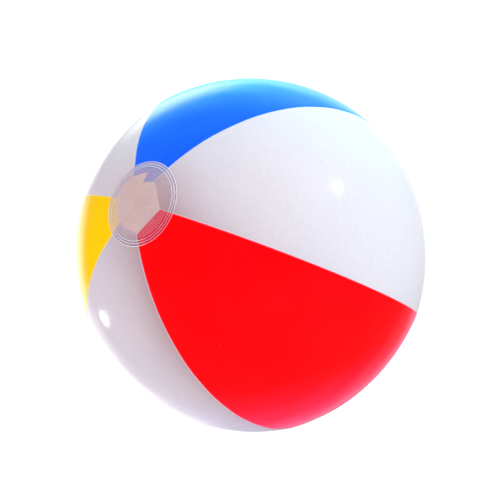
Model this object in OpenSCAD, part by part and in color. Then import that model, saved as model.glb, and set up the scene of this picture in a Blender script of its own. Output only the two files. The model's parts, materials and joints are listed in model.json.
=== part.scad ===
// Inflatable beach ball: six vinyl panels lap-welded along their long edges, a clear end cap
// over the straight-cut panel tips at each pole, and a push-in oral valve in a white panel.
// The ball lies on its side, as it rolls to a stop. The origin is the ball's centre, +Z is up
// and +Y is the way the valve points, out of the ball.

/* [Ball] */
// Diameter across the panels, halfway between the two end caps
equator_d = 358; // [250:1:450]
// Height from pole to pole, a little less than the diameter
polar_d = 346; // [240:1:440]
// Thickness of the vinyl film
film_t = 0.25; // [0.2:0.05:0.6]
// Width by which each panel runs under the edge of the next one
lap_w = 4; // [2:0.5:8]
// Distance of each panel's straight tip cut from the middle of the end cap
tip_cut = 23; // [20:1:28]

/* [Panels] */
// Angle taken up by the blue panel
blue_arc = 62; // [58:0.5:62]
// Angle taken up by the first white panel
white_1_arc = 62; // [58:0.5:62]
// Angle taken up by the red panel
red_arc = 60; // [58:0.5:62]
// Angle taken up by the second white panel
white_2_arc = 59; // [58:0.5:62]
// Angle taken up by the yellow panel (the third white panel takes the rest of the turn)
yellow_arc = 58.5; // [58:0.5:62]

/* [End caps] */
// Diameter of each clear end cap
cap_d = 82; // [70:1:100]
// Thickness of the end caps' film
cap_t = 0.3; // [0.2:0.05:0.6]
// How far off the pole the front cap was welded, away from the valve's panel
cap_slip = 6; // [0:0.5:6]
// How far off the pole the front cap was welded, sideways
cap_side_slip = 3.5; // [0:0.5:4]
// Number of weld rings embossed in each cap
weld_rings = 3; // [1:1:4]
// Distance from one weld ring to the next
weld_pitch = 2.4; // [2:0.1:4]
// Width of a weld ring
weld_w = 0.9; // [0.6:0.1:1.4]
// Height of a weld ring above the cap
weld_h = 0.25; // [0.15:0.05:0.5]

/* [How the ball lies] */
// Angle between the valve's axis and the polar axis, at the hidden pole
valve_from_pole = 43; // [35:1:80]
// Roll of the ball about the valve's axis
valve_roll = 50.7; // [0:0.1:90]

/* [Valve] */
// Radius of the hole in the panel that the valve sinks into
well_r = 10.5; // [10.5:0.1:13]
// Radius of the flange welded to the inside of the panel
flange_r = 17; // [15:0.5:22]
// Thickness of the flange
flange_t = 0.8; // [0.5:0.1:0.8]
// Radius of the stem's bore
bore_r = 3.2; // [2.8:0.1:3.2]
// Wall thickness of the stem
stem_wall = 1.4; // [1:0.1:1.4]
// Length of the stem
stem_l = 13; // [12:0.5:18]
// Depth of the closed plug's top below the ball's surface, with the valve pushed in
plug_sink = 0.55; // [0.4:0.05:1.5]
// Thickness of the flexible skirt between the flange and the stem
skirt_t = 0.6; // [0.4:0.1:0.8]
// Radius of the skirt's turn at the bottom of the well
skirt_bend_r = 4; // [2:0.5:5]

/* [Plug] */
// Radius of the plug's cap
plug_cap_r = 5; // [4.8:0.1:5]
// Thickness of the plug's cap
plug_cap_t = 1.2; // [1:0.1:1.2]
// Length of the plug's tapered shank
shank_l = 4; // [3:0.1:4]
// Radius of the shank's nose
shank_nose_r = 2.2; // [1.8:0.1:2.2]
// Width of the strap that ties the plug to the stem
strap_w = 3.2; // [2:0.1:4]
// Thickness of the strap
strap_t = 0.8; // [0.6:0.1:0.8]
// Distance of the strap's fold from the stem's axis
fold_d = 7.2; // [7.2:0.1:7.6]

/* [Check flap] */
// Radius of the flap that closes the stem's inner end
flap_r = 4.4; // [4:0.1:4.6]
// Thickness of the flap
flap_t = 0.3; // [0.3:0.05:0.5]
// Width of the flap's tab
flap_tab_w = 3; // [2:0.1:4]
// Distance of the flap's fold from the stem's axis
flap_fold_d = 5.2; // [5.2:0.1:5.6]

/* [Hidden] */
$fn = 96;

RED = [0.93, 0.03, 0.03];
WHITE = [0.93, 0.92, 0.94];
BLUE = [0.05, 0.32, 0.95];
YELLOW = [0.98, 0.78, 0.03];
CLEAR = [0.85, 0.80, 0.82, 0.6];
VALVE_WHITE = [0.88, 0.90, 0.92];

// The meridian is an arc whose centre lies off the polar axis. Turned about that axis, it makes
// a ball that is a little flatter than a sphere.
meridian_r = (equator_d * equator_d + polar_d * polar_d) / (4 * equator_d);
meridian_off = (equator_d * equator_d - polar_d * polar_d) / (4 * equator_d);

// Where each panel starts, as an angle about the polar axis from the middle of the third white
// panel. The panels follow one another clockwise round the front pole.
white_3_arc = 360 - blue_arc - white_1_arc - red_arc - white_2_arc - yellow_arc;
blue_edge = -white_3_arc / 2;
white_1_edge = blue_edge - blue_arc;
red_edge = white_1_edge - white_1_arc;
white_2_edge = red_edge - red_arc;
yellow_edge = white_2_edge - white_2_arc;
white_3_edge = yellow_edge - yellow_arc;

lap_hold = 1;            // width of the lap strip's hold on its own panel
lap_arc = 25;            // half angle that surely holds a lap strip, or the valve's flange
axis_clear = 8;          // the panels' section starts this far off the polar axis

valve_lat = 90 - valve_from_pole;
valve_pos = [
    -meridian_off * sin(valve_lat) * sin(valve_roll),
    meridian_off * cos(valve_lat) + meridian_r,
    meridian_off * sin(valve_lat) * cos(valve_roll),
];

// Heights along the valve's axis, out of the ball, from the ball's surface.
running_gap = 0.05;
stem_r = bore_r + stem_wall;
seat_h = -plug_sink - plug_cap_t;                   // underside of the plug's cap
fold_h = seat_h - running_gap / 2;                  // fold of the strap
stem_top_h = seat_h - running_gap;
stem_end_h = stem_top_h - stem_l;
fold_bead_r = strap_t + running_gap / 2;
ear_w = strap_w;

flange_top_h = -film_t;
skirt_top_h = flange_top_h - flange_t;
skirt_floor_h = stem_end_h + 1.6;                   // underside of the skirt's floor

flap_gap = 0.15;                                    // between the stem's end and the flap
flap_top_h = stem_end_h - flap_gap;
flap_fold_h = flap_top_h - flap_t / 2;
flap_bead_r = 0.45;
flap_ear_t = 0.9;

// ---- placing ----

// Lays the ball down: its polar axis, +Z as it is drawn, goes to its slanting rest.
module laid() {
    rotate([0, -valve_roll, 0])
        rotate([valve_lat, 0, 0])
            rotate([0, 0, 90])
                children();
}

// Stands a piece on the ball's surface at the valve, with its +Z out of the ball and its +Y down.
module at_valve() {
    translate(valve_pos)
        rotate([-90, 0, 0])
            children();
}

// The same place before the ball is laid down.
module at_valve_upright() {
    translate([meridian_off, 0, 0])
        rotate([0, 90 + valve_lat, 0])
            translate([0, 0, meridian_r])
                children();
}

// Shifts a piece off the pole as far as that pole's cap has slipped, by tilting it about the
// ball's centre. The front cap has slipped by 1, the back cap by 0.
module slipped(share) {
    rotate([share * atan(cap_side_slip / meridian_r), -share * atan(cap_slip / meridian_r), 0])
        children();
}

// ---- film ----

// Section of a layer of film from pole to pole, between two depths under the ball's surface.
module film_section(top, bottom, from_axis) {
    intersection() {
        translate([meridian_off, 0])
            difference() {
                circle(r = meridian_r - top, $fn = 256);
                circle(r = meridian_r - bottom, $fn = 256);
            }
        translate([from_axis, -equator_d])
            square([equator_d, 2 * equator_d]);
    }
}

// That layer, turned through an angle about the polar axis.
module film(top, bottom, start, arc) {
    rotate([0, 0, start])
        rotate_extrude(angle = arc, $fn = 256)
            film_section(top, bottom, axis_clear);
}

// Cuts the two tips of a panel off square.
module without_tips(middle) {
    difference() {
        children();
        slipped(1)
            rotate([0, 0, middle])
                translate([tip_cut - equator_d, -equator_d / 2, 0])
                    cube(equator_d);
        rotate([0, 0, middle])
            translate([tip_cut - equator_d, -equator_d / 2, -equator_d])
                cube(equator_d);
    }
}

// Everything on the clockwise side of a seam, up to a distance past it.
module side_of(seam, past) {
    rotate([0, 0, seam])
        translate([-equator_d, past - 2 * equator_d, -equator_d])
            cube(2 * equator_d);
}

// One panel, which runs clockwise from its edge to its far seam. It is cut from film of double
// thickness: only the outer layer is left of the panel itself, and only the inner layer of the
// lap strip, which goes on past the seam, under the next panel, with the same width all along.
module panel(edge, arc) {
    seam = edge - arc;
    without_tips(edge - arc / 2)
        difference() {
            film(0, 2 * film_t, seam - lap_arc, lap_arc + arc);
            film(-film_t, film_t, seam - 2 * lap_arc, 2 * lap_arc);
            difference() {
                film(film_t, 3 * film_t, seam, arc + lap_arc);
                side_of(seam, lap_hold);
            }
            side_of(seam, -lap_w);
        }
}

module panel_blue() {
    color(BLUE) laid() panel(blue_edge, blue_arc);
}

module panel_white_1() {
    color(WHITE) laid() panel(white_1_edge, white_1_arc);
}

module panel_red() {
    color(RED) laid() panel(red_edge, red_arc);
}

module panel_white_2() {
    color(WHITE) laid() panel(white_2_edge, white_2_arc);
}

module panel_yellow() {
    color(YELLOW) laid() panel(yellow_edge, yellow_arc);
}

module panel_white_3() {
    color(WHITE)
        laid()
            difference() {
                panel(white_3_edge, white_3_arc);
                at_valve_upright()
                    cylinder(r = well_r, h = 4 * flange_t, center = true);
            }
}

// ---- end caps ----

// Section of the film over a pole, between two heights above the panels. It is level up to
// the meridian's own centre, and follows the panels from there.
module pole_section(bottom, top) {
    film_section(-top, -bottom, meridian_off);
    translate([0, meridian_r + bottom])
        square([meridian_off, top - bottom]);
}

// The part of that film that a cutter standing on the pole takes in.
module pole_film(bottom, top) {
    intersection() {
        rotate_extrude($fn = 256)
            pole_section(bottom, top);
        children();
    }
}

module weld_die(r) {
    difference() {
        cylinder(r = r, h = equator_d);
        cylinder(r = r - weld_w, h = equator_d);
    }
}

// A disc of film that closes a pole, with the welding die's rings standing up from it.
module end_cap(slip) {
    pole_film(0, cap_t)
        slipped(slip)
            cylinder(d = cap_d, h = equator_d);
    for (ring = [0 : weld_rings - 1])
        pole_film(cap_t, cap_t + weld_h)
            slipped(slip)
                weld_die(cap_d / 2 - ring * weld_pitch);
}

module end_cap_front() {
    color(CLEAR) laid() end_cap(1);
}

module end_cap_back() {
    color(CLEAR) laid() mirror([0, 0, 1]) end_cap(0);
}

// ---- valve ----

// Ring of thicker vinyl welded to the inside of the panel, round the valve's hole.
module valve_flange() {
    color(VALVE_WHITE)
        laid()
            intersection() {
                film(film_t, film_t + flange_t, -lap_arc, 2 * lap_arc);
                at_valve_upright()
                    difference() {
                        cylinder(r = flange_r, h = 8 * flange_t, center = true);
                        cylinder(r = well_r, h = 9 * flange_t, center = true);
                    }
            }
}

// Section of the skirt: a wall down the well, a turn, and a floor that reaches the stem.
module skirt_section() {
    wall_h = skirt_top_h - skirt_floor_h - skirt_bend_r;
    floor_w = well_r - skirt_bend_r - stem_r;
    translate([well_r - skirt_t, skirt_floor_h + skirt_bend_r])
        square([skirt_t, wall_h]);
    translate([stem_r, skirt_floor_h])
        square([floor_w, skirt_t]);
    translate([well_r - skirt_bend_r, skirt_floor_h + skirt_bend_r])
        intersection() {
            difference() {
                circle(r = skirt_bend_r);
                circle(r = skirt_bend_r - skirt_t);
            }
            translate([0, -skirt_bend_r])
                square(skirt_bend_r);
        }
}

// Flexible skirt that carries the stem and turns inside out as the stem is pulled.
module valve_skirt() {
    color(VALVE_WHITE)
        at_valve()
            rotate_extrude()
                skirt_section();
}

// Inflation tube, with the ear that the strap folds against and the ear that holds the flap.
module valve_stem() {
    color(VALVE_WHITE)
        at_valve() {
            difference() {
                translate([0, 0, stem_end_h])
                    cylinder(r = stem_r, h = stem_l);
                translate([0, 0, stem_end_h - 1])
                    cylinder(r = bore_r, h = stem_l + 2);
            }
            strap_ear();
            flap_ear();
        }
}

// Ear at the stem's mouth, hollowed at its end for the strap's fold.
module strap_ear() {
    difference() {
        translate([-ear_w / 2, 0, stem_top_h - strap_t])
            cube([ear_w, fold_d, strap_t]);
        translate([0, 0, stem_end_h])
            cylinder(r = stem_r - running_gap, h = 2 * stem_l);
        at_strap_fold()
            cylinder(r = fold_bead_r + running_gap, h = 2 * ear_w, center = true);
    }
}

// Ear at the stem's inner end, over the flap's fold.
module flap_ear() {
    difference() {
        translate([-flap_tab_w / 2, -flap_fold_d - flap_bead_r, stem_end_h])
            cube([flap_tab_w, flap_fold_d + flap_bead_r, flap_ear_t]);
        translate([0, 0, stem_end_h - stem_l])
            cylinder(r = stem_r - running_gap, h = 2 * stem_l);
        at_flap_fold()
            cylinder(r = flap_bead_r + running_gap, h = 2 * flap_tab_w, center = true);
    }
}

// ---- plug ----

module at_strap_fold() {
    translate([0, fold_d, fold_h])
        rotate([0, 90, 0])
            children();
}

// Plug that closes the stem: a round cap on a tapered shank.
module plug() {
    color(VALVE_WHITE)
        at_valve() {
            translate([0, 0, seat_h])
                cylinder(r = plug_cap_r, h = plug_cap_t);
            translate([0, 0, seat_h - shank_l])
                cylinder(r1 = shank_nose_r, r2 = bore_r - running_gap, h = shank_l);
        }
}

// Strap between the plug and the fold, with its rounded end in the stem's ear.
module plug_strap() {
    color(VALVE_WHITE)
        at_valve() {
            difference() {
                translate([-strap_w / 2, 0, seat_h])
                    cube([strap_w, fold_d, strap_t]);
                translate([0, 0, seat_h - 1])
                    cylinder(r = plug_cap_r, h = plug_cap_t + 2);
            }
            at_strap_fold()
                cylinder(r = fold_bead_r, h = strap_w, center = true);
        }
}

// ---- check flap ----

module at_flap_fold() {
    translate([0, -flap_fold_d, flap_fold_h])
        rotate([0, 90, 0])
            children();
}

// Film disc that the air pressure holds against the stem's inner end.
module check_flap() {
    color(CLEAR)
        at_valve() {
            translate([0, 0, flap_top_h - flap_t])
                cylinder(r = flap_r, h = flap_t);
            translate([-flap_tab_w / 2, -flap_fold_d, flap_top_h - flap_t])
                cube([flap_tab_w, flap_fold_d, flap_t]);
            at_flap_fold()
                cylinder(r = flap_bead_r, h = flap_tab_w, center = true);
        }
}

panel_blue();
panel_white_1();
panel_red();
panel_white_2();
panel_yellow();
panel_white_3();
end_cap_front();
end_cap_back();
valve_flange();
valve_skirt();
valve_stem();
plug();
plug_strap();
check_flap();
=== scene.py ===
"""Looks of an inflatable beach ball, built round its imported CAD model.

Six panels of glossy vinyl film, lapped and welded along their long edges, two clear end caps with
embossed weld rings, and a push-in valve. Every length is in metres in the row frame, and MM turns
millimetres into metres. The ball's own frame has its polar axis, from the hidden end cap to the
visible one, along +Z.
"""

import json
import math

import bmesh
import bpy
import numpy as np
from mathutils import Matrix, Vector


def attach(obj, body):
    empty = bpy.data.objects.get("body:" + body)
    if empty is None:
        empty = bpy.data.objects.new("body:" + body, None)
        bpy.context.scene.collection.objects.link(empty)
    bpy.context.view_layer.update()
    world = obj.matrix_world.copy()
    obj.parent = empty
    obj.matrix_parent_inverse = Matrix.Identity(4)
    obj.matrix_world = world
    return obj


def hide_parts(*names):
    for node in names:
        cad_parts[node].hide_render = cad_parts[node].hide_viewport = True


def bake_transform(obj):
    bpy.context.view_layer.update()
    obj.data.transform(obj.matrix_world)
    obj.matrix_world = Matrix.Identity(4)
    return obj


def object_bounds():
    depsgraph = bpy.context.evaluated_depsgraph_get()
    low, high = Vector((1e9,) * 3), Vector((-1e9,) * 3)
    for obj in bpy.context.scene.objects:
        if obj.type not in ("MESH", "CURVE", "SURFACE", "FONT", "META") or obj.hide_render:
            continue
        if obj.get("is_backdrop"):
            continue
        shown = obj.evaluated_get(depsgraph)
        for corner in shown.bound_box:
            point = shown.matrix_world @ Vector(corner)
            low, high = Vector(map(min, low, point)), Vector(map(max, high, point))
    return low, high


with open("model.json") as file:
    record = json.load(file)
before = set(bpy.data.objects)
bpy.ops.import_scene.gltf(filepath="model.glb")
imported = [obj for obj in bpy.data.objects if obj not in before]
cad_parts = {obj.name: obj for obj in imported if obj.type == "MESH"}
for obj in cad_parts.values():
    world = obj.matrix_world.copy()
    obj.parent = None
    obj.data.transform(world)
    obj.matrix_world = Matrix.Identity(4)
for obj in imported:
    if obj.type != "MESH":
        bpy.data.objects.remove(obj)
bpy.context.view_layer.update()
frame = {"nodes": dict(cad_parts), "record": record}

MM = 0.001
TURN = 2 * math.pi

# ---- the ball's sizes and the way it lies, as in the CAD model ----

VALVE_FROM_POLE = math.radians(43)   # between the valve's axis and the polar axis
VALVE_ROLL = math.radians(50.7)      # roll of the ball about the valve's axis
PANELS = ["blue", "white_1", "red", "white_2", "yellow", "white_3"]
ARCS = np.radians([62, 62, 60, 59, 58.5, 58.5])
FIRST_EDGE = -ARCS[-1] / 2           # the blue panel's edge; the others follow clockwise
FILM_T = 0.25 * MM
CAP_R = 41 * MM
CAP_T = 0.3 * MM
CAP_CENTRES = {"front": np.array([-6.0, -3.5]) * MM, "back": np.array([0.0, 0.0])}


def about(axis, angle):
    """Rotation matrix about one of the axes 0, 1 and 2."""
    c, s = math.cos(angle), math.sin(angle)
    turned = np.eye(3)
    a, b = (axis + 1) % 3, (axis + 2) % 3
    turned[a, a] = turned[b, b] = c
    turned[a, b], turned[b, a] = -s, s
    return turned


LAID = about(1, -VALVE_ROLL) @ about(0, TURN / 4 - VALVE_FROM_POLE) @ about(2, TURN / 4)
POLAR_AXIS = LAID[:, 2]


def node_points(name):
    """Vertices of a CAD node."""
    return np.array([v.co for v in frame["nodes"][name].data.vertices])


def ball_radii():
    """The ball's radius at its equator and its height at the pole, from the CAD nodes."""
    panels = np.concatenate([node_points("panel_" + name) for name in PANELS])
    off_axis = panels - np.outer(panels @ POLAR_AXIS, POLAR_AXIS)
    pole = (node_points("end_cap_front") @ POLAR_AXIS).max() - CAP_T
    return np.linalg.norm(off_axis, axis=1).max(), pole


EQUATOR_R, POLE_H = ball_radii()
MERIDIAN_R = (EQUATOR_R ** 2 + POLE_H ** 2) / (2 * EQUATOR_R)
MERIDIAN_OFF = EQUATOR_R - MERIDIAN_R


def mount(name):
    return next(m for m in frame["record"]["mounts"] if m["name"] == name)


VALVE = np.array(mount("inflation_valve")["pos_m"])

# ---- relief of the inflated film ----

PILLOW = 0.0112              # how much lower a panel's middle is than its seams, per radius
PUCKER_H, PUCKER_REACH = 0.07 * MM, 9 * MM
RADIAL_H, RADIAL_REACH, RADIAL_UNDER = 0.10 * MM, 10 * MM, 1.5 * MM
PUCKER_FREE = 25 * MM        # how far from a cap the seams' puckers have their full height
WAVE_H = 0.16 * MM
IMPRINT_R, IMPRINT_W, IMPRINT_H = 18 * MM, 3.5 * MM, 0.10 * MM
VALVE_FLAT, VALVE_FREE = 20 * MM, 60 * MM    # the film is undisturbed up to, and pillowed beyond

rng = np.random.default_rng(20)
PUCKERS = [(w * MM, rng.uniform(0, TURN, 6), h) for w, h in ((11.3, 1), (7.1, 0.6), (5.2, 0.35))]
GROUPS = [(w * MM, rng.uniform(0, TURN, 6)) for w in (71, 113)]
RADIALS = [(n, rng.uniform(0, TURN), h) for n, h in ((31, 1), (43, 0.7), (17, 0.8))]
WAVES = [
    (rng.normal(size=3), w * MM, rng.uniform(0, TURN), h)
    for w, h in ((150, 1), (110, 0.8), (85, 0.6), (63, 0.4), (47, 0.25))
]


def smooth(x, low, high):
    """0 below low, 1 above high, and a smooth step between them."""
    t = np.clip((x - low) / (high - low), 0, 1)
    return t * t * (3 - 2 * t)


def bump(x, width):
    """A rounded bump of height 1."""
    return np.exp(-((x / width) ** 2))


def ring_radius(polar):
    """Distance from the polar axis at a polar angle on the meridian."""
    return MERIDIAN_OFF + MERIDIAN_R * np.sin(polar)


def polar_at(radius):
    """Polar angle of the point at that distance from the polar axis, on the front half."""
    return np.arcsin(np.clip((radius - MERIDIAN_OFF) / MERIDIAN_R, 0, 1))


def ball_frame_point(azimuth, polar, lift):
    """Point in the ball's own frame, lifted off the smooth ball along its normal."""
    ring, out = ring_radius(polar), np.sin(polar)
    x = (ring + out * lift) * np.cos(azimuth)
    y = (ring + out * lift) * np.sin(azimuth)
    return np.stack([x, y, (MERIDIAN_R + lift) * np.cos(polar)], -1)


def placed(azimuth, polar, lift):
    """That point in the row frame."""
    return ball_frame_point(azimuth, polar, lift) @ LAID.T


def in_panel(azimuth):
    """Index of the panel there, and the angles to its edge and to its far seam."""
    past = np.mod(FIRST_EDGE - azimuth, TURN)
    ends = np.concatenate([[0], np.cumsum(ARCS)])
    index = np.clip(np.searchsorted(ends, past, side="right") - 1, 0, 5)
    return index, past - ends[index], ends[index + 1] - past


def seam_puckers(along, seam):
    """Height, from -1 to 1, of the small crosswise ripples along a seam."""
    total = sum(h * np.sin(TURN * along / w + phase[seam]) for w, phase, h in PUCKERS)
    groups = [0.5 + 0.5 * np.sin(TURN * along / w + phase[seam]) for w, phase in GROUPS]
    return total / 2 * (0.25 + 0.75 * groups[0] * groups[1] * 2)


def cap_distance(flat, front):
    """Distance from the nearer cap's centre and angle about it, from ball-frame x and y."""
    centre = np.where(front[..., None], CAP_CENTRES["front"], CAP_CENTRES["back"])
    away = flat - centre
    return np.hypot(away[..., 0], away[..., 1]), np.arctan2(away[..., 1], away[..., 0])


def from_valve(point):
    """Distance from the valve's axis, far away on the other half of the ball."""
    distance = np.hypot(point[..., 0] - VALVE[0], point[..., 2] - VALVE[2])
    return np.where(point[..., 1] > 0, distance, 1.0)


def relief(azimuth, polar):
    """How far the inflated film stands off the smooth ball."""
    azimuth, polar = np.broadcast_arrays(azimuth, polar)
    index, from_edge, to_seam = in_panel(azimuth)
    ring = ring_radius(polar)
    across = 2 * from_edge / ARCS[index] - 1
    pillow = PILLOW * ring * (across ** 2 - 0.5)
    seam = np.where(from_edge < to_seam, index, (index + 1) % 6)
    near = np.minimum(from_edge, to_seam) * ring
    base = ball_frame_point(azimuth, polar, 0.0)
    cap_far, cap_angle = cap_distance(base[..., :2], base[..., 2] > 0)
    free = smooth(cap_far, CAP_R, CAP_R + PUCKER_FREE)
    pucker = PUCKER_H * seam_puckers(MERIDIAN_R * polar, seam) * np.exp(-near / PUCKER_REACH) * free
    past = cap_far - CAP_R
    faded = np.where(past > 0, np.exp(-past / RADIAL_REACH), np.exp(past / RADIAL_UNDER))
    radial = RADIAL_H * faded * sum(h * np.sin(n * cap_angle + p) for n, p, h in RADIALS) / 2
    wave = WAVE_H * sum(h * np.sin(TURN * (base @ d) / w + p) for d, w, p, h in WAVES) / 2
    valve_far = from_valve(base @ LAID.T)
    kept = smooth(valve_far, VALVE_FLAT, VALVE_FREE)
    imprint = IMPRINT_H * bump(valve_far - IMPRINT_R, IMPRINT_W)
    return (pillow + pucker + wave + radial) * kept - imprint


# ---- meshes ----


def new_object(name, points, faces, smooth_angle=40):
    mesh = bpy.data.meshes.new(name)
    mesh.from_pydata(points.tolist(), [], faces)
    mesh.update()
    mesh.shade_smooth()
    mesh.set_sharp_from_angle(angle=math.radians(smooth_angle))
    made = bpy.data.objects.new(name, mesh)
    bpy.context.scene.collection.objects.link(made)
    return made


def grid_faces(rows, columns, closed, start=0):
    """Quads of a grid of points; closed joins its last column to its first."""
    r = np.arange(rows - 1)[:, None] * columns
    c = np.arange(columns if closed else columns - 1)[None, :]
    n = (c + 1) % columns
    quads = np.stack([r + c, r + n, r + columns + n, r + columns + c], -1)
    return quads.reshape(-1, 4) + start


def shell(name, outer, inner, closed=False, **keys):
    """A closed film between two grids of points of the same shape."""
    rows, columns = outer.shape[:2]
    count = rows * columns
    top = grid_faces(rows, columns, closed)
    bottom = grid_faces(rows, columns, closed, count)[:, ::-1]
    index = np.arange(count).reshape(rows, columns)
    rims = [index[0], index[-1][::-1]]
    if not closed:
        rims += [index[:, 0][::-1], index[:, -1]]
    walls = []
    for rim in rims:
        after = np.roll(rim, -1) if closed else rim[1:]
        before = rim if closed else rim[:-1]
        walls.append(np.stack([after, before, before + count, after + count], -1))
    faces = np.concatenate([top, bottom, *walls]).tolist()
    points = np.concatenate([outer.reshape(-1, 3), inner.reshape(-1, 3)])
    return new_object(name, points, faces, **keys)


def paint(made, name, values):
    """Stores a number per vertex, for the material to read."""
    attribute = made.data.attributes.new(name, "FLOAT", "POINT")
    attribute.data.foreach_set("value", np.asarray(values, np.float32).ravel())


def on_both_sides(values):
    return np.concatenate([values.ravel(), values.ravel()])


# ---- panels ----

LAP_STEP = FILM_T + 0.03 * MM        # a lap strip runs this far under the next panel's face
LAP_FALL = 2.4 * MM                  # width over which the film dips to its lap strip
WELD_AT, WELD_W, WELD_H = 2.2 * MM, 1.0 * MM, 0.06 * MM
EDGE_W, EDGE_H = 0.35 * MM, 0.08 * MM
WARM_REACH = 28 * MM                 # how far the painted red light spreads in the white film beside it

# Each tip's cut: degrees past the panel's edge and distance from the pole in millimetres.
FRONT_CUTS = {
    "blue": [(-2, 27.3), (9, 26.8), (36.4, 30), (37.7, 19.6), (62, 25), (75, 29)],
    "white_1": [(-2, 28.5), (62, 33.5), (75, 39)],
    "red": [(-2, 34), (31, 28.8), (60, 33), (75, 41)],
    "white_2": [(-2, 33), (59, 25), (75, 31)],
    "yellow": [(-2, 26), (48.3, 23), (58.5, 27), (80, 30)],
    "white_3": [(-2, 28), (29, 26.5), (58.5, 27), (80, 31)],
}
BACK_CUT = 23 * MM                   # distance from the pole at a back tip's middle
BACK_SKEW = {"blue": 3, "white_1": -4, "red": 2, "white_2": 5, "yellow": -3, "white_3": -2}

# How far a panel's first seam strays clockwise beside the front cap, and the reach over which it
# comes back to its meridian, in millimetres. The other seams don't stray.
SEAM_DRIFT = {"blue": (1.4, 160), "white_1": (1.5, 160), "yellow": (-2.9, 35)}
NO_DRIFT = (0, 1)

EDGE_STEPS = np.array([0, 0.12, 0.35, 0.7, 1.2, 1.8, 2.5, 3.3, 4.3, 5.7, 7.6, 10]) * MM
STRIP_STEPS = np.array([0.3, 1.2, 2.5, 4.0]) * MM
MIDDLE_COLUMNS = 40
PANEL_ROWS = 190
GRID_ROUNDS = 8                      # rounds in which a panel's rows and columns settle


def cut_radius(past_edge, cut):
    """Distance from the pole at which a ray past the panel's edge meets the cut's outline."""
    angles = np.radians([a for a, _ in cut])
    corners = np.array([(r * MM * math.cos(a), r * MM * math.sin(a)) for a, (_, r) in zip(angles, cut)])
    leg = np.clip(np.searchsorted(angles, past_edge) - 1, 0, len(cut) - 2)
    start, way = corners[leg], corners[leg + 1] - corners[leg]
    ray = np.stack([np.cos(past_edge), np.sin(past_edge)], -1)
    crossed = ray[..., 0] * way[..., 1] - ray[..., 1] * way[..., 0]
    return (start[..., 0] * way[..., 1] - start[..., 1] * way[..., 0]) / crossed


def back_cut_radius(past_edge, arc, skew):
    return BACK_CUT / np.cos(past_edge - arc / 2 - math.radians(skew))


def column_rules():
    """Each column's distance past the panel's edge is a share of the width plus a length."""
    middle = np.linspace(0, 1, MIDDLE_COLUMNS + 2)[1:-1]
    last = EDGE_STEPS[-1]
    share = np.concatenate([0 * EDGE_STEPS, middle, 1 + 0 * EDGE_STEPS, 1 + 0 * STRIP_STEPS])
    scaled = np.concatenate([EDGE_STEPS, last * (1 - 2 * middle), -EDGE_STEPS[::-1], 0 * STRIP_STEPS])
    fixed = np.concatenate([np.zeros(len(share) - len(STRIP_STEPS)), STRIP_STEPS])
    return share, scaled, fixed


def seam_drift(number, polar):
    """Angle by which the seam at a panel's edge strays clockwise from its meridian."""
    stray, reach = SEAM_DRIFT.get(PANELS[number % 6], NO_DRIFT)
    past_cap = np.maximum(MERIDIAN_R * polar - CAP_R, 0)
    return stray * MM / np.maximum(ring_radius(polar), CAP_R) * np.exp(-past_cap / (reach * MM))


def panel_grid(number):
    """Azimuth, polar angle, width and distance past the edge, at each point of a panel."""
    name, arc = PANELS[number], ARCS[number]
    edge = FIRST_EDGE - ARCS[:number].sum()
    share, scaled, fixed = column_rules()
    down = np.linspace(0, 1, PANEL_ROWS)[:, None]
    past = np.broadcast_to(arc * np.clip(share, 0, 1), (PANEL_ROWS, len(share)))
    start = 0
    for _ in range(GRID_ROUNDS):
        first = polar_at(cut_radius(past + start, FRONT_CUTS[name]))
        last = TURN / 2 - polar_at(back_cut_radius(past, arc, BACK_SKEW[name]))
        polar = first + (last - first) * down
        ring = ring_radius(polar)
        start = seam_drift(number, polar)
        width = ring * (arc + seam_drift(number + 1, polar) - start)
        squeeze = np.minimum(1, width / (3 * EDGE_STEPS[-1]))
        offset = share * width + scaled * squeeze + fixed
        past = offset / ring
    return edge - start - past, polar, width, offset


def lap_lift(width, offset):
    """Height of a panel's outer face near its two long edges, where the films overlap."""
    before = width - offset
    dip = -LAP_STEP * (1 - smooth(before, 0, LAP_FALL))
    groove = -WELD_H * (bump(offset - WELD_AT, WELD_W) + bump(before - LAP_FALL, WELD_W))
    edge = -EDGE_H * (1 - smooth(offset, 0, EDGE_W))
    return dip + groove + edge


def painted_red_light(name, offset, width, cap_far):
    """Painted red light on a white panel: the light that comes through from the red panel beside it."""
    beside = {"white_1": width - offset, "white_2": offset}
    if name not in beside:
        return 0 * offset
    spread = np.exp(-np.maximum(beside[name], 0) / WARM_REACH)
    if name == "white_1":
        return spread * np.exp(-np.maximum(cap_far - CAP_R, 0) / WARM_REACH / 2)
    return spread * smooth(cap_far, 20 * MM, CAP_R)


PAINTED = ["edge", "seam", "along", "cap", "warm", "inside"]
DRILL_HALF = 12 * MM                 # half the drill's length
RIM_REACH = 8 * MM                   # how far from the hole a new vertex finds its neighbour


def make_panel(number):
    """One panel, with the lap strip that runs under the next one."""
    name = PANELS[number]
    azimuth, polar, width, offset = panel_grid(number)
    lift = relief(azimuth, polar) + lap_lift(width, offset)
    outer = placed(azimuth, polar, lift)
    inner = placed(azimuth, polar, lift - FILM_T)
    made = shell("vinyl_panel_" + name, outer, inner)
    base = ball_frame_point(azimuth, polar, 0.0)
    far, _ = cap_distance(base[..., :2], base[..., 2] > 0)
    lengths = [offset / MM, (width - offset) / MM, MERIDIAN_R * polar / MM, far / MM]
    # Besides the lengths, each vertex keeps its share of painted red light.
    values = [on_both_sides(v) for v in (*lengths, painted_red_light(name, offset, width, far))]
    for attribute, painted in zip(PAINTED, [*values, np.repeat([0, 1], offset.size)]):
        paint(made, attribute, painted)
    return made


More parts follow.
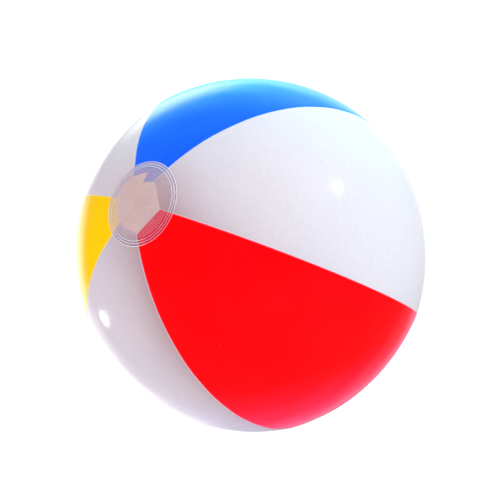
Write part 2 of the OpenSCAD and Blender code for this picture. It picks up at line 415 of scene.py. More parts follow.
def make_drill(radius, half, sides=96):
    """Round drill on the valve's axis, its faces all pointing out."""
    turn = np.arange(sides) * TURN / sides
    rings = [valve_point(radius * np.cos(turn), radius * np.sin(turn), h) for h in (-half, half)]
    caps = [list(range(sides)), list(range(sides, 2 * sides))]
    drill = new_object("drill", np.concatenate(rings), [*grid_faces(2, sides, True).tolist(), *caps])
    turned = bmesh.new()
    turned.from_mesh(drill.data)
    bmesh.ops.recalc_face_normals(turned, faces=turned.faces)
    turned.to_mesh(drill.data)
    turned.free()
    return drill


def paint_rim(made, radius):
    """Gives the hole's new vertices the painted values of their neighbours on the same face."""
    points = np.array([v.co for v in made.data.vertices])
    far = from_valve(points)
    new = far < radius + 0.02 * MM
    depth = VALVE[1] - points[:, 1]
    lower = depth > (depth[new].min() + depth[new].max()) / 2
    attributes = [made.data.attributes[name].data for name in PAINTED]
    inside = np.array([value.value for value in attributes[-1]])
    for below in (0, 1):
        wanted = np.flatnonzero(new & (lower == below))
        near = np.flatnonzero(~new & (far < radius + RIM_REACH) & (inside == below))
        gaps = np.linalg.norm(points[wanted][:, None] - points[near][None], axis=2)
        for vertex, neighbour in zip(wanted, near[gaps.argmin(axis=1)]):
            for data in attributes:
                data[int(vertex)].value = data[int(neighbour)].value


def cut_round_hole(made, radius):
    """Cuts the valve's well out of a panel."""
    drill = make_drill(radius, DRILL_HALF)
    cutter = made.modifiers.new("well", "BOOLEAN")
    cutter.operation, cutter.object, cutter.solver = "DIFFERENCE", drill, "EXACT"
    depsgraph = bpy.context.evaluated_depsgraph_get()
    cut = bpy.data.meshes.new_from_object(made.evaluated_get(depsgraph))
    made.modifiers.clear()
    made.data = cut
    made.data.set_sharp_from_angle(angle=math.radians(40))
    bpy.data.objects.remove(drill)
    paint_rim(made, radius)


# ---- end caps ----

RIDGE_PITCH, RIDGE_W, RIDGE_H = 2.4 * MM, 0.55 * MM, 0.45 * MM
RIDGES = 3
RIDGE_INSET = 0.45 * MM              # between the outermost ridge's crest and the cap's edge
BAND_W, BAND_STEP, BAND_STEP_H = 7.4 * MM, 0.8 * MM, 0.12 * MM
LIP_W, LIP_H = 0.25 * MM, 0.15 * MM
CAP_CLEAR = 0.05 * MM
DOME_H = 0.9 * MM
CAP_SIDES = 288
CAP_COARSE, CAP_FINE, CAP_FINE_FROM = 1.5, 0.15, 33    # steps between a cap's rings, in millimetres
RED_MIDDLE = FIRST_EDGE - ARCS[:2].sum() - ARCS[2] / 2    # the ridges' painted highlight and shade are fainter on this side


def cap_profile(radius):
    """Height of a cap's outer face, how much of a ridge it is, and how much of the weld band."""
    ridge = sum(bump(radius - (CAP_R - RIDGE_INSET - k * RIDGE_PITCH), RIDGE_W) for k in range(RIDGES))
    band = smooth(radius, CAP_R - BAND_W, CAP_R - BAND_W + BAND_STEP)
    dome = DOME_H * (1 - smooth(radius, 0, CAP_R - BAND_W))
    lip = -LIP_H * smooth(radius, CAP_R - LIP_W, CAP_R)
    return CAP_T + RIDGE_H * ridge + dome + lip + BAND_STEP_H * (1 - band), ridge, band


def make_cap(side):
    """A clear disc of film over one pole."""
    coarse = np.arange(0.02, CAP_FINE_FROM, CAP_COARSE) * MM
    fine = np.arange(CAP_FINE_FROM, CAP_R / MM, CAP_FINE) * MM
    radius = np.concatenate([coarse, fine, [CAP_R]])[:, None]
    turn = np.arange(CAP_SIDES)[None, :] * TURN / CAP_SIDES
    centre = CAP_CENTRES[side]
    x = centre[0] + radius * np.cos(turn)
    y = centre[1] + radius * np.sin(turn)
    ring = np.hypot(x, y)
    azimuth = np.arctan2(y, x)
    flat = np.minimum(ring, MERIDIAN_OFF) / MERIDIAN_OFF
    polar = polar_at(ring)
    high, ridge, band = cap_profile(radius)
    high, ridge, band = (np.broadcast_to(v, ring.shape) for v in (high, ridge, band))
    if side == "back":
        polar = TURN / 2 - polar
    stand = relief(azimuth, polar) * flat + CAP_CLEAR
    body = ball_frame_point(azimuth, polar, 0.0)
    body[..., :2] = np.stack([x, y], -1)
    level = np.sin(polar)
    out = np.stack([level * np.cos(azimuth), level * np.sin(azimuth), np.cos(polar)], -1)
    bottom = high - RIDGE_H * ridge - CAP_T
    outer = (body + out * (stand + high)[..., None]) @ LAID.T
    inner = (body + out * (stand + bottom)[..., None]) @ LAID.T
    if side == "front":
        outer, inner = outer[::-1], inner[::-1]
        ridge, band = ridge[::-1], band[::-1]
    made = shell("clear_cap_" + side, outer, inner, closed=True, smooth_angle=60)
    paint(made, "ridge", on_both_sides(ridge))
    paint(made, "band", on_both_sides(band))
    # Over the red panel the ridges' painted highlight and shade are fainter.
    pale = 1 - smooth(np.cos(turn - RED_MIDDLE), 0.75, 0.95)
    paint(made, "pale", on_both_sides(np.broadcast_to(pale, ring.shape)))
    return made


# ---- valve ----

WELL_R, STEM_R, BORE_R = 10.5 * MM, 4.6 * MM, 3.2 * MM
SEAT_H, STEM_TOP, STEM_END = -1.75 * MM, -1.8 * MM, -14.8 * MM
SKIRT_TOP, SKIRT_FLOOR, SKIRT_T = -1.05 * MM, -13.0 * MM, 0.55 * MM
PLUG_R, PLUG_TOP, NOSE_R, NOSE_H = 5.0 * MM, -0.55 * MM, 2.2 * MM, -5.75 * MM
FOLD_D, STRAP_W, STRAP_T = 7.2 * MM, 3.2 * MM, 0.7 * MM
LATHE_SIDES = 96
STRAP_SIDES = 20


def valve_point(x, y, height):
    """Point at the valve: height is out of the ball, and y is down."""
    x, y, height = np.broadcast_arrays(x, y, height)
    return np.stack([VALVE[0] + x, VALVE[1] + height, VALVE[2] - y], -1)


def rounded(corners, steps=5):
    """Section with its corners turned to arcs: each corner is (radius, height, rounding)."""
    made = []
    for i, (r, h, fillet) in enumerate(corners):
        here = np.array([r, h])
        if fillet == 0:
            made.append(here)
            continue
        sides = [np.array(corners[i - 1][:2]), np.array(corners[(i + 1) % len(corners)][:2])]
        starts = [here + (s - here) / np.linalg.norm(s - here) * fillet for s in sides]
        for t in np.linspace(0, 1, steps):
            made.append((1 - t) ** 2 * starts[0] + 2 * t * (1 - t) * here + t * t * starts[1])
    return np.array(made)


def lathe(name, corners, **keys):
    """Closed section turned about the valve's axis. The corners run clockwise, out then down."""
    section = rounded(corners)
    turn = np.arange(LATHE_SIDES)[None, :] * TURN / LATHE_SIDES
    r, h = section[:, :1], section[:, 1:]
    points = valve_point(r * np.cos(turn), r * np.sin(turn), h)
    faces = grid_faces(len(section) + 1, LATHE_SIDES, True) % (len(section) * LATHE_SIDES)
    return new_object(name, points.reshape(-1, 3), faces.tolist(), **keys)


def solid_lathe(name, corners, **keys):
    """The same with a section that starts and ends on the axis."""
    section = rounded(corners)
    turn = np.arange(LATHE_SIDES) * TURN / LATHE_SIDES
    rings = [valve_point(r * np.cos(turn), r * np.sin(turn), h) for r, h in section[1:-1]]
    ends = [valve_point(0.0, 0.0, h)[None, :] for h in (section[0, 1], section[-1, 1])]
    count = len(rings) * LATHE_SIDES
    faces = grid_faces(len(rings), LATHE_SIDES, True).tolist()
    after = np.roll(np.arange(LATHE_SIDES), -1)
    low = count - LATHE_SIDES
    faces += [[count, int(b), a] for a, b in enumerate(after)]
    faces += [[count + 1, low + a, low + int(b)] for a, b in enumerate(after)]
    return new_object(name, np.concatenate([*rings, *ends]), faces, **keys)


def swept_strip(name, path, width, thickness, **keys):
    """A flat strap along a path of (y, height), with rounded long edges."""
    path = np.array(path, float)
    way = np.gradient(path, axis=0)
    way /= np.linalg.norm(way, axis=1)[:, None]
    side = np.stack([-way[:, 1], way[:, 0]], -1)
    turn = np.arange(STRAP_SIDES) * TURN / STRAP_SIDES
    flat = np.sign(np.cos(turn)) * np.abs(np.cos(turn)) ** 0.35 * width / 2
    up = np.sign(np.sin(turn)) * np.abs(np.sin(turn)) ** 0.7 * thickness / 2
    y = path[:, :1] + side[:, :1] * up
    h = path[:, 1:] + side[:, 1:] * up
    points = valve_point(np.broadcast_to(flat, y.shape), y, h)
    rows = len(path)
    faces = grid_faces(rows, STRAP_SIDES, True).tolist()
    last = (rows - 1) * STRAP_SIDES
    faces += [list(range(STRAP_SIDES))[::-1], list(range(last, last + STRAP_SIDES))]
    return new_object(name, points.reshape(-1, 3), faces, **keys)


# Corners of the skirt's outer face from its top down: radius, height and rounding in millimetres.
SKIRT_CORNERS = [
    (10.42, -1.05, 0.1), (10.3, -4.0, 1.2), (8.9, -6.6, 1.2), (9.3, -9.2, 1.4), (7.6, -12.6, 1.8),
]


def make_skirt():
    """Soft web between the flange and the stem, in two shallow folds."""
    t = SKIRT_T
    corners = [(r * MM, h * MM, fillet * MM) for r, h, fillet in SKIRT_CORNERS]
    floor_r, floor_h = 4.7 * MM, SKIRT_FLOOR + 0.1 * MM
    floor = [(floor_r, floor_h, 0), (floor_r, floor_h + t, 0)]
    inside = [(r - t, h, fillet) for r, h, fillet in corners[:-1]]
    foot_r, foot_h, foot_fillet = corners[-1]
    inside.append((foot_r - t, foot_h + t, foot_fillet))
    return lathe("valve_skirt_web", [*corners, *floor, *inside[::-1]], smooth_angle=50)


def make_stem():
    """Inflation tube with a rolled mouth and a collar that the skirt meets."""
    mouth, neck, waist, collar = 4.95 * MM, 4.35 * MM, 4.45 * MM, 5.3 * MM
    section = [
        (BORE_R, STEM_TOP, 0.25 * MM),
        (mouth, STEM_TOP, 0.3 * MM),
        (mouth, STEM_TOP - 0.9 * MM, 0.3 * MM),
        (neck, STEM_TOP - 1.4 * MM, 0.3 * MM),
        (waist, SKIRT_FLOOR + 1.6 * MM, 0.3 * MM),
        (collar, SKIRT_FLOOR + 0.7 * MM, 0.3 * MM),
        (collar, SKIRT_FLOOR - 0.2 * MM, 0.2 * MM),
        (STEM_R, SKIRT_FLOOR - 0.4 * MM, 0.1 * MM),
        (STEM_R, STEM_END, 0.2 * MM),
        (BORE_R, STEM_END, 0.15 * MM),
    ]
    return lathe("valve_tube", section)


def make_plug():
    """Cap with a dished top on a tapered shank with a bulb at its nose."""
    dish = PLUG_TOP - 0.35 * MM
    section = [
        (0, dish, 0),
        (3.2 * MM, dish, 0.5 * MM),
        (3.7 * MM, PLUG_TOP, 0.3 * MM),
        (PLUG_R, PLUG_TOP, 0.45 * MM),
        (PLUG_R, SEAT_H, 0.3 * MM),
        (BORE_R - 0.1 * MM, SEAT_H, 0.15 * MM),
        (BORE_R - 0.35 * MM, SEAT_H - 2.4 * MM, 0.4 * MM),
        (BORE_R - 0.2 * MM, SEAT_H - 3.1 * MM, 0.3 * MM),
        (NOSE_R, NOSE_H, 0.5 * MM),
        (0, NOSE_H, 0),
    ]
    return solid_lathe("plug_cap", section)


def make_strap():
    """Strap from the stem's mouth out to its fold and back on top to the plug."""
    low, high = STEM_TOP - 0.45 * MM, SEAT_H + 0.42 * MM
    radius, middle = (high - low) / 2, (low + high) / 2
    start, fold = 4.4 * MM, FOLD_D - 0.5 * MM
    bend = np.linspace(-TURN / 4, TURN / 4, 13)
    path = [(y, low) for y in np.linspace(start, fold, 7)]
    path += [(fold + radius * math.cos(a), middle + radius * math.sin(a)) for a in bend]
    path += [(y, high) for y in np.linspace(fold, start, 7)]
    return swept_strip("plug_tie", path, STRAP_W, STRAP_T)


# ---- material nodes ----


class Nodes:
    """Short names for building a node tree."""

    def __init__(self, name):
        self.material = bpy.data.materials.new(name)
        self.material.use_nodes = True
        self.tree = self.material.node_tree
        self.shader = self.tree.nodes["Principled BSDF"]

    def add(self, kind, inputs=(), **settings):
        node = self.tree.nodes.new(kind)
        for key, value in settings.items():
            setattr(node, key, value)
        for key, value in dict(inputs).items():
            self.put(value, node.inputs[key])
        return node

    def put(self, value, socket):
        if isinstance(value, bpy.types.NodeSocket):
            self.tree.links.new(value, socket)
        else:
            socket.default_value = value

    def place(self):
        return self.add("ShaderNodeTexCoord").outputs["Object"]

    def noise(self, scale, detail=2.0, where=None, roughness=0.5):
        where = where or self.place()
        inputs = {"Vector": where, "Scale": scale, "Detail": detail, "Roughness": roughness}
        return self.add("ShaderNodeTexNoise", inputs).outputs["Fac"]

    def attribute(self, name):
        return self.add("ShaderNodeAttribute", attribute_name=name).outputs["Fac"]

    def ramp(self, value, low, high, to_low=0.0, to_high=1.0):
        inputs = {"Value": value, "From Min": low, "From Max": high, "To Min": to_low, "To Max": to_high}
        ramp = self.add("ShaderNodeMapRange", inputs, interpolation_type="SMOOTHSTEP")
        return ramp.outputs["Result"]

    def maths(self, operation, a, b):
        return self.add("ShaderNodeMath", {0: a, 1: b}, operation=operation).outputs[0]

    def mix(self, share, a, b, blend_type="MIX"):
        node = self.add("ShaderNodeMix", data_type="RGBA", blend_type=blend_type)
        self.put(share, node.inputs[0])
        self.put(a, node.inputs[6])
        self.put(b, node.inputs[7])
        return node.outputs[2]

    def between(self, share, a, b):
        node = self.add("ShaderNodeMix", data_type="FLOAT")
        self.put(share, node.inputs[0])
        self.put(a, node.inputs[2])
        self.put(b, node.inputs[3])
        return node.outputs[0]

    def stretched(self, scale):
        return self.add("ShaderNodeMapping", {"Vector": self.place(), "Scale": scale}).outputs["Vector"]

    def bumped(self, height, strength, distance, normal=None):
        inputs = {"Height": height, "Strength": strength, "Distance": distance}
        if normal:
            inputs["Normal"] = normal
        return self.add("ShaderNodeBump", inputs).outputs["Normal"]

    def set(self, **sockets):
        for name, value in sockets.items():
            self.put(value, self.shader.inputs[name.replace("_", " ")])


def linear(red, green, blue):
    """Screen colour from 0 to 255 as a linear colour."""
    steps = [c / 255 for c in (red, green, blue)]
    return (*[s / 12.92 if s <= 0.04045 else ((s + 0.055) / 1.055) ** 2.4 for s in steps], 1.0)


# Shares of the second colour: painted warm light beside a cap, painted cool light far from it,
# painted shade on the tips under it, pale at a panel's edges and in a scratch.
WARM_BY_CAP, COOL_FAR, UNDER_CAP_SHADE, PALE_EDGE, SCRATCHED = 0.2, 0.8, 0.72, 0.55, 0.25
# Strength of the painted glow: an emission for the light through the yellow film.
PAINTED_GLOW = 0.04
INNER_FACE = (0.60, 0.545, 0.54, 1)


def vinyl(name, colour, shade, pale, sheen, gleam, warm=None, painted_cool_light=None, painted_shade_under_cap=None, painted_glow=None):
    """Glossy vinyl film: clouded colour, a pale welded edge, fine orange peel and a few scratches.

    The gleam is the colour of its sheen and gloss. The warm colour is painted red light beside the red
    panel and the caps, the cool one painted bluish light far from them, the one under a cap painted
    shade on the tips there, and the glow painted light: an emission for the light through the film.
    """
    n = Nodes(name)
    body = n.mix(n.ramp(n.noise(9, 3), 0.35, 0.65), colour, shade)
    # Painted light: red light on the white film beside the red panel and, a little, beside the caps.
    if warm:
        body = n.mix(n.attribute("warm"), body, warm)
        body = n.mix(n.ramp(n.attribute("cap"), 41, 75, WARM_BY_CAP, 0.0), body, warm)
    # Painted light: a cooler, bluish colour far from the caps.
    if painted_cool_light:
        body = n.mix(n.ramp(n.attribute("cap"), 110, 260, 0.0, COOL_FAR), body, painted_cool_light)
    # Painted shade: the tips under a cap darker and greyer.
    if painted_shade_under_cap:
        body = n.mix(n.ramp(n.attribute("cap"), 40.2, 41.0, UNDER_CAP_SHADE, 0.0), body, painted_shade_under_cap)
    body = n.mix(n.ramp(n.noise(260, 2), 0.3, 0.7, 0.0, 0.10), body, shade, "MULTIPLY")
    seam = n.maths("ABSOLUTE", n.attribute("seam"), 0.0)
    edge = n.maths("MINIMUM", n.attribute("edge"), seam)
    body = n.mix(n.ramp(edge, 0.35, 1.15, PALE_EDGE, 0.0), body, pale)
    scratch = n.noise(30, 4, n.stretched((9, 0.5, 5)), 0.7)
    thin = n.ramp(scratch, 0.70, 0.73, 0.0, SCRATCHED)
    body = n.mix(thin, body, pale)
    n.set(Base_Color=n.mix(n.attribute("inside"), body, INNER_FACE))
    gloss = n.ramp(n.noise(14, 4), 0.3, 0.7, 0.15, 0.21)
    n.set(Roughness=n.maths("ADD", gloss, n.maths("MULTIPLY", thin, 0.5)))
    along = n.add("ShaderNodeCombineXYZ", {"X": n.attribute("along")}).outputs[0]
    weld = n.add("ShaderNodeTexWave", {"Vector": along, "Scale": 0.25, "Distortion": 0.0}).outputs["Fac"]
    band = n.maths("MULTIPLY", n.ramp(edge, 1.2, 1.6), n.ramp(edge, 3.2, 3.6, 1.0, 0.0))
    knurl = n.bumped(n.maths("MULTIPLY", weld, band), 0.25, 0.05 * MM)
    n.set(Normal=n.bumped(n.noise(700, 2), 0.05, 0.05 * MM, knurl))
    n.set(IOR=1.45, Specular_IOR_Level=0.2, Specular_Tint=gleam)
    n.set(Sheen_Weight=sheen, Sheen_Roughness=0.26, Sheen_Tint=gleam)
    # Painted light: an emission that stands in for the light through the film.
    if painted_glow:
        n.set(Emission_Color=painted_glow, Emission_Strength=PAINTED_GLOW)
    return n.material


# Share of the light that one face of the clear film stops: in its middle, where that is hazy towards
# -X, on its weld band, and on the crests and flanks of the ridges, both fainter over the red panel.
# The crests are pale, a painted highlight, and the flanks dark, painted shade.
FILM_ALPHA, HAZY_ALPHA, BAND_ALPHA = 0.15, 0.22, 0.05
CREST_ALPHA, CREST_OVER_RED = 0.28, 0.06
FLANK_ALPHA, FLANK_OVER_RED = 0.34, 0.18
HAZY_X, CLEAR_X = -0.124, -0.098
HAZES = [(0.62, 0.38, 0.44, 1), (0.57, 0.36, 0.42, 1)]
HAZE_SIDE = (0.64, 0.66, 0.80, 1)
# Smoke: the film's own tint on its weld band, and painted shade on the ridges' flanks.
SMOKE_AND_PAINTED_SHADE = (0.20, 0.13, 0.18, 1)
# Painted highlight on the ridges' crests: a pale colour and a glow for the light they catch.
PAINTED_CREST_HIGHLIGHT, PAINTED_CREST_GLOW, PAINTED_CREST_GLOW_STRENGTH = (0.92, 0.84, 0.96, 1), (0.90, 0.80, 1.0, 1), 0.4
BLACK = (0, 0, 0, 1)


def clear_film(name):
    """Clear film, a little smoky, with weld rings that have a painted highlight on their crests and
    painted shade on their flanks. Each of its two faces has half the effect.
    """
    n = Nodes(name)
    ridge, band, pale = (n.attribute(painted) for painted in ("ridge", "band", "pale"))
    crest = n.ramp(ridge, 0.45, 0.85)
    flank = n.maths("MULTIPLY", n.ramp(ridge, 0.05, 0.25), n.ramp(ridge, 0.35, 0.6, 1.0, 0.0))
    cloud = n.ramp(n.noise(60, 3), 0.3, 0.7, 0.93, 1.07)
    across = n.add("ShaderNodeSeparateXYZ", {"Vector": n.place()}).outputs["X"]
    hazy = n.ramp(across, HAZY_X, CLEAR_X, 1.0, 0.0)
    film_alpha = n.between(band, n.between(hazy, FILM_ALPHA, HAZY_ALPHA), BAND_ALPHA)
    crest_alpha = n.maths("MULTIPLY", crest, n.between(pale, CREST_OVER_RED, CREST_ALPHA))
    flank_alpha = n.maths("MULTIPLY", flank, n.between(pale, FLANK_OVER_RED, FLANK_ALPHA))
    lines = n.maths("ADD", crest_alpha, flank_alpha)
    n.set(Alpha=n.maths("ADD", n.maths("MULTIPLY", film_alpha, cloud), lines))
    haze = n.mix(n.ramp(n.noise(25, 2), 0.3, 0.7), *HAZES)
    # The weld band takes the film's smoky tint; the ridges' flanks take it too, as painted shade.
    film = n.mix(n.maths("MAXIMUM", band, flank), n.mix(hazy, haze, HAZE_SIDE), SMOKE_AND_PAINTED_SHADE)
    # Painted highlight: the ridges' crests are pale.
    n.set(Base_Color=n.mix(crest, film, PAINTED_CREST_HIGHLIGHT))
    # Painted highlight: the ridges' crests glow.
    n.set(Emission_Color=n.mix(crest, BLACK, PAINTED_CREST_GLOW), Emission_Strength=PAINTED_CREST_GLOW_STRENGTH)
    polish = n.ramp(n.noise(120, 3), 0.3, 0.7, 0.08, 0.16)
    n.set(Roughness=n.maths("ADD", polish, n.maths("MULTIPLY", crest, 0.34)))
    n.set(Normal=n.bumped(n.noise(500, 2), 0.05, 0.05 * MM))
    n.set(IOR=1.8, Specular_IOR_Level=0.5)
    return n.material


def soft_vinyl(name, colour, shade):
    """Moulded valve vinyl, a little cloudy, with a fine matt skin."""
    n = Nodes(name)
    n.set(Base_Color=n.mix(n.ramp(n.noise(120, 3), 0.35, 0.65), colour, shade))
    n.set(Roughness=n.ramp(n.noise(300, 3), 0.3, 0.7, 0.28, 0.42))
    n.set(Normal=n.bumped(n.noise(1500, 3), 0.12, 0.05 * MM))
    n.set(IOR=1.5, Specular_IOR_Level=0.5)
    return n.material


# Warm and cool are painted light, the colours under a cap painted shade, the yellow's glow painted
# light.
VINYLS = {
    "blue": vinyl(
        "blue_vinyl", linear(22, 87, 250), linear(28, 97, 250), linear(140, 190, 248),
        sheen=0.75, gleam=(0.05, 0.90, 1.0, 1), painted_shade_under_cap=(0.50, 0.45, 0.53, 1),
    ),
    "red": vinyl(
        "red_vinyl", linear(254, 4, 2), linear(252, 2, 6), linear(245, 120, 150),
        sheen=0.45, gleam=(1.0, 0.32, 0.85, 1), painted_shade_under_cap=(0.76, 0.001, 0.06, 1),
    ),
    "yellow": vinyl(
        "yellow_vinyl", linear(252, 206, 3), linear(250, 199, 3), linear(248, 228, 150),
        sheen=0.05, gleam=(1.0, 0.95, 0.30, 1), painted_shade_under_cap=(0.85, 0.66, 0.30, 1),
        painted_glow=(1.0, 0.45, 0.0, 1),
    ),
    "white": vinyl(
        "white_vinyl", (0.66, 0.60, 0.68, 1), (0.70, 0.62, 0.68, 1), (0.74, 0.70, 0.78, 1),
        sheen=0.1, gleam=(0.90, 0.95, 1.0, 1), warm=(0.48, 0.32, 0.35, 1),
        painted_cool_light=(0.60, 0.63, 0.71, 1),
    ),
}
CLEAR = clear_film("clear_vinyl")
VALVE_VINYL = soft_vinyl("valve_vinyl", linear(204, 209, 216), linear(190, 197, 206))

# ---- pieces ----


def dress(piece, material):
    piece.data.materials.clear()
    piece.data.materials.append(material)


def vinyl_of(name):
    return name.split("_")[0]


for number, name in enumerate(PANELS):
    panel = make_panel(number)
    if name == "white_3":
        cut_round_hole(panel, WELL_R)
    dress(panel, VINYLS[vinyl_of(name)])
    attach(panel, "ball")
    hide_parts("panel_" + name)

caps = []
for side in ("front", "back"):
    cap = make_cap(side)
    caps.append(cap)
    dress(cap, CLEAR)
    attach(cap, "ball")
    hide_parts("end_cap_" + side)

skirt = make_skirt()
dress(skirt, VALVE_VINYL)
top, bottom = valve_point(0.0, 0.0, SKIRT_TOP), valve_point(0.0, 0.0, SKIRT_FLOOR + SKIRT_T)
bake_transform(skirt)
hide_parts("valve_skirt")

stem = make_stem()
dress(stem, VALVE_VINYL)
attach(stem, "stem")
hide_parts("valve_stem")

plug = make_plug()
dress(plug, VALVE_VINYL)
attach(plug, "plug")
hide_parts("plug")

strap = make_strap()
dress(strap, VALVE_VINYL)
low, high = valve_point(0.0, FOLD_D, STEM_TOP - 0.1 * MM), valve_point(0.0, FOLD_D, SEAT_H + 0.1 * MM)
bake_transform(strap)
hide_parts("plug_strap")

for node, material in (("valve_flange", VALVE_VINYL), ("check_flap", CLEAR)):
    frame["nodes"][node].data.materials.clear()
    frame["nodes"][node].data.materials.append(material)

# ---- stage, light and camera ----

FLOOR_R, FLOOR_RINGS, FLOOR_SIDES = 6.0, 40, 96
FLOOR_GLOW = 0.93


def make_floor(height):
    """Pale round floor, finer towards its middle."""
    radius = FLOOR_R * np.linspace(0.0001, 1, FLOOR_RINGS)[:, None] ** 2
    turn = np.arange(FLOOR_SIDES)[None, :] * TURN / FLOOR_SIDES
    x, y = radius * np.cos(turn), radius * np.sin(turn)
    points = np.stack([x, y, np.full(x.shape, height)], -1)
    faces = grid_faces(FLOOR_RINGS, FLOOR_SIDES, True).tolist()
    made = new_object("floor", points.reshape(-1, 3), faces)
    n = Nodes("pale_floor")
    greys = [(0.30, 0.30, 0.30, 1), (0.28, 0.28, 0.28, 1)]
    n.set(Base_Color=n.mix(n.ramp(n.noise(3, 3), 0.3, 0.7), *greys))
    n.set(Roughness=0.85, Specular_IOR_Level=0.1)
    n.set(Emission_Color=(1, 1, 1, 1), Emission_Strength=FLOOR_GLOW)
    made.data.materials.append(n.material)
    made.visible_glossy = False
    made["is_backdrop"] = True


# What the gloss mirrors: a direction, the closeness to it (as a cosine) at which the light starts and
# at which it is full, its strength there and its colour.
MIRRORED = [
    ((0, 1, 0), 0.5, 1.0, 0.6, (1, 1, 1)),
    ((0, 0.98, 0.05), 0.9, 1.0, 0.6, (1, 1, 1)),
    ((0, 0.5, 0.87), 0.5, 0.98, 2.6, (0.12, 0.95, 1.0)),
    ((-0.50, 0.78, -0.36), 0.90, 1.0, 2.6, (1, 0.98, 1)),
    ((0.08, 0.4, -0.91), 0.8, 1.0, 1.0, (0.4, 0.35, 1.0)),
    ((-0.22, 0.88, 0.42), 0.93, 1.0, 1.1, (0.1, 0.95, 1.0)),
    ((-0.36, 0.86, 0.36), 0.965, 1.0, 3.0, (1.0, 0.75, 0.78)),
    ((-0.47, 0.6, -0.65), 0.94, 1.0, 1.0, (1, 0.97, 1)),
]
SOFT_FRONT, SOFT_BACK, SOFT_BACK_FROM = 0.68, 1.05, 0.6
BACKDROP = (1.02, 1.02, 1.02, 1)


def make_world():
    """White studio, brighter behind than in front, with the light that the gloss mirrors."""
    world = bpy.data.worlds.new("studio")
    bpy.context.scene.world = world
    world.use_nodes = True
    nodes, links = world.node_tree.nodes, world.node_tree.links
    way = nodes.new("ShaderNodeTexCoord").outputs["Generated"]
    rays = nodes.new("ShaderNodeLightPath").outputs

    def closeness(axis, low, high, to_low, to_high):
        facing = nodes.new("ShaderNodeVectorMath")
        facing.operation = "DOT_PRODUCT"
        facing.inputs[1].default_value = Vector(axis).normalized()
        links.new(way, facing.inputs[0])
        ramp = nodes.new("ShaderNodeMapRange")
        limits = {"From Min": low, "From Max": high, "To Min": to_low, "To Max": to_high}
        for name, value in limits.items():
            ramp.inputs[name].default_value = value
        links.new(facing.outputs["Value"], ramp.inputs["Value"])
        return ramp.outputs["Result"]

    def plus(total, amount, colour):
        scaled = nodes.new("ShaderNodeVectorMath")
        scaled.operation = "SCALE"
        scaled.inputs[0].default_value = colour
        links.new(amount, scaled.inputs["Scale"])
        if total is None:
            return scaled.outputs[0]
        summed = nodes.new("ShaderNodeVectorMath")
        links.new(total, summed.inputs[0])
        links.new(scaled.outputs[0], summed.inputs[1])
        return summed.outputs[0]

    def chosen(ray, otherwise, value):
        mix = nodes.new("ShaderNodeMix")
        mix.data_type = "RGBA"
        links.new(rays[ray], mix.inputs[0])
        links.new(otherwise, mix.inputs[6])
        if isinstance(value, tuple):
            mix.inputs[7].default_value = value
        else:
            links.new(value, mix.inputs[7])
        return mix.outputs[2]

    mirrored = None
    for axis, low, high, strength, colour in MIRRORED:
        mirrored = plus(mirrored, closeness(axis, low, high, 0.0, strength), colour)
    soft = plus(None, closeness((0, 1, 0), -1, SOFT_BACK_FROM, SOFT_FRONT, SOFT_BACK), (1, 1, 1))
    lit = chosen("Is Glossy Ray", soft, mirrored)
    links.new(chosen("Is Camera Ray", lit, BACKDROP), nodes["Background"].inputs["Color"])
    nodes["Background"].inputs["Strength"].default_value = 1.0


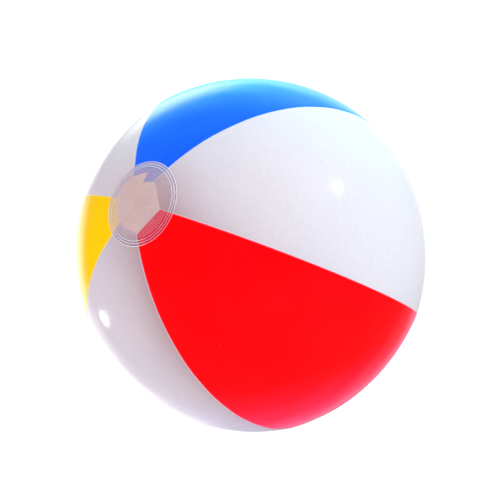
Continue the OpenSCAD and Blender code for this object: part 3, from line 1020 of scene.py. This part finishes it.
# The ring light lights only the caps. Powers are in watts, and an area lamp's size is its diameter.
LAMPS = {
    "key_softbox": {
        "place": (0.96, -0.59, 1.14), "power": 13.5, "size": 0.9, "colour": (0.75, 1.0, 1.0),
        "glossy": False,
    },
    "left_softbox": {
        "place": (-1.15, -0.35, 0.45), "power": 1.3, "size": 0.7, "colour": (1.0, 0.90, 0.94),
        "glossy": False,
    },
    "top_softbox": {
        "place": (0.26, 0.78, 1.0), "power": 6, "size": 0.7, "colour": (0.7, 1.0, 1.0),
        "glossy": False,
    },
    "spot_right": {
        "kind": "POINT", "place": (1.143, -0.273, 1.005), "power": 9, "size": 0.075,
        "diffuse": False,
    },
    "spot_left": {
        "kind": "POINT", "place": (-0.289, -0.057, -0.124), "power": 0.16, "size": 0.016,
        "diffuse": False,
    },
    "inside_glow": {
        "kind": "POINT", "place": (0, 0, 0.001), "power": 0.66, "size": 0.06,
        "colour": (1.0, 0.90, 0.88), "glossy": False,
    },
    "ring_light": {"place": (-0.12, -0.80, 1.02), "power": 10, "size": 0.9, "diffuse": False},
}


def make_lamp(name, place, power, size, kind="AREA", colour=(1, 1, 1), diffuse=True, glossy=True):
    """Lamp at a place, pointing at the ball's centre."""
    data = bpy.data.lights.new(name, kind)
    data.energy, data.color = power, colour
    if kind == "AREA":
        data.shape, data.size = "DISK", size
    else:
        data.shadow_soft_size = size
    lamp = bpy.data.objects.new(name, data)
    bpy.context.scene.collection.objects.link(lamp)
    lamp.location = place
    lamp.rotation_euler = (-Vector(place)).to_track_quat("-Z", "Y").to_euler()
    lamp.visible_diffuse, lamp.visible_glossy = diffuse, glossy
    lamp.visible_camera = False
    return lamp


def light_only(lamp, receivers):
    """Keeps a lamp's light to some of the pieces."""
    lit = bpy.data.collections.new(lamp.name + "_receivers")
    for receiver in receivers:
        lit.objects.link(receiver)
    lamp.light_linking.receiver_collection = lit


CAMERA_AZIMUTH, CAMERA_ELEVATION = math.radians(6.8), math.radians(12.35)
CAMERA_DISTANCE = 1.26
LENS, LENS_SHIFT = 89.1, 0.0094


def make_camera():
    """Camera at the photograph's angle: 12 degrees up and a little to the right."""
    azimuth, elevation = CAMERA_AZIMUTH, CAMERA_ELEVATION
    data = bpy.data.cameras.new("camera")
    data.sensor_width, data.lens, data.shift_y = 36, LENS, LENS_SHIFT
    data.clip_start, data.clip_end = 0.05, 50
    camera = bpy.data.objects.new("camera", data)
    bpy.context.scene.collection.objects.link(camera)
    level = math.cos(elevation)
    back = Vector((math.sin(azimuth) * level, -math.cos(azimuth) * level, math.sin(elevation)))
    camera.location = back * CAMERA_DISTANCE
    camera.rotation_euler = (-back).to_track_quat("-Z", "Y").to_euler()
    bpy.context.scene.camera = camera


make_floor(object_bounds()[0].z)
make_world()
lamps = {name: make_lamp(name, **settings) for name, settings in LAMPS.items()}
light_only(lamps["ring_light"], caps)
make_camera()
bpy.context.scene.view_settings.view_transform = "Standard"
